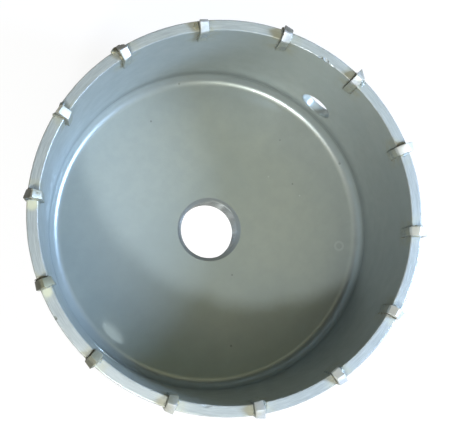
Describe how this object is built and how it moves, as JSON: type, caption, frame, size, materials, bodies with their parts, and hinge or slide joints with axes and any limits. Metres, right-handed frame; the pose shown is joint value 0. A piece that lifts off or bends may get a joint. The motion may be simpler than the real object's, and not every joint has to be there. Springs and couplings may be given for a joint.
{
  "type": "hole saw",
  "caption": "Cup-shaped masonry hole saw: a steel cup with carbide teeth brazed into its rim and a threaded hole in its base for a drill shank.",
  "frame": {"origin": "centre of the flat back face, on the axis of the threaded hole", "axes": "+Z along the saw's axis, from the back to the teeth; +X along the line through the two side holes"},
  "size_m": [0.1238, 0.1216, 0.0694],
  "materials": {
    "painted_steel": "semi-gloss metallic silver paint over turned steel, worn on the rim",
    "carbide": "ground carbide, dull grey with bright facets",
    "brazing_filler": "dull brass-coloured filler with dark flux stains"
  },
  "bodies": {
    "root": {"cup": "painted_steel", "tip_01": "carbide", "tip_02": "carbide", "tip_03": "carbide", "tip_04": "carbide", "tip_05": "carbide", "tip_06": "carbide", "tip_07": "carbide", "tip_08": "carbide", "tip_09": "carbide", "tip_10": "carbide", "tip_11": "carbide", "tip_12": "carbide", "tip_13": "carbide", "tip_14": "carbide", "braze_01": "brazing_filler", "braze_02": "brazing_filler", "braze_03": "brazing_filler", "braze_04": "brazing_filler", "braze_05": "brazing_filler", "braze_06": "brazing_filler", "braze_07": "brazing_filler", "braze_08": "brazing_filler", "braze_09": "brazing_filler", "braze_10": "brazing_filler", "braze_11": "brazing_filler", "braze_12": "brazing_filler", "braze_13": "brazing_filler", "braze_14": "brazing_filler"}
  },
  "joints": []
}
